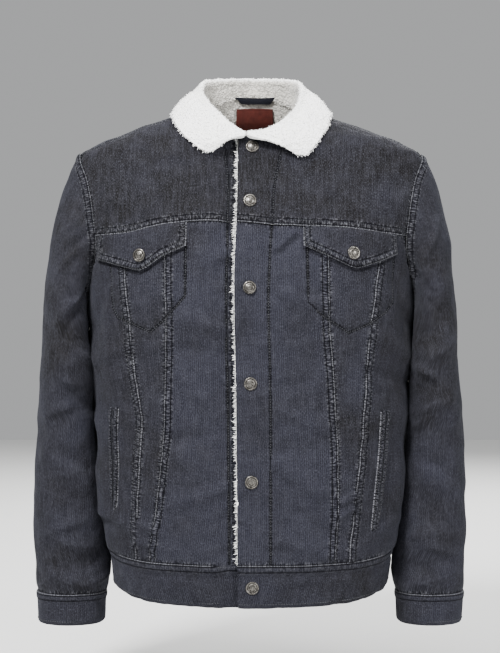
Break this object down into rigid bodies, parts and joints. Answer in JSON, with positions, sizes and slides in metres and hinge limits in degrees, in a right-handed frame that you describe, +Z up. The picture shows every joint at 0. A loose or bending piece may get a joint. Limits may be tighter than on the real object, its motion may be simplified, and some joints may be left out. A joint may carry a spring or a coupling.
{
  "type": "sherpa lined jacket",
  "caption": "Buttoned corduroy jacket with a pile collar and lining, flap chest pockets and waistband, hollow and rounded out as if worn.",
  "frame": {"origin": "the middle of the neck, level with the points where neck and shoulder seams meet, where the wearer's shoulders hold the jacket", "axes": "+Z up, +X to the wearer's left, -Y the front"},
  "size_m": [0.5885, 0.2662, 0.7515],
  "materials": {
    "corduroy": "fine wale cotton corduroy, dark slate blue, worn at the seams",
    "pile": "white curly pile",
    "leather": "plain brown patch",
    "tape": "dark woven tape",
    "button": "dark aged metal with plain rings"
  },
  "bodies": {
    "root": {"front_centre_left": "corduroy", "front_centre_right": "corduroy", "front_middle_left": "corduroy", "front_middle_right": "corduroy", "front_side_left": "corduroy", "front_side_right": "corduroy", "front_yoke_left": "corduroy", "front_yoke_right": "corduroy", "sleeve_left": "corduroy", "sleeve_right": "corduroy", "cuff_left": "corduroy", "cuff_right": "corduroy", "chest_flap_left": "corduroy", "chest_flap_right": "corduroy", "hand_pocket_welt_left": "corduroy", "hand_pocket_welt_right": "corduroy", "back_yoke": "corduroy", "back_panel": "corduroy", "waistband": "corduroy", "collar": "pile", "front_edge_facing": "pile", "lining_back_neck": "pile", "hanger_loop": "tape", "neck_label": "leather", "button_front_1": "button", "button_front_2": "button", "button_front_3": "button", "button_front_4": "button", "button_front_5": "button", "button_front_6": "button", "button_flap_left": "button", "button_flap_right": "button"}
  },
  "joints": []
}
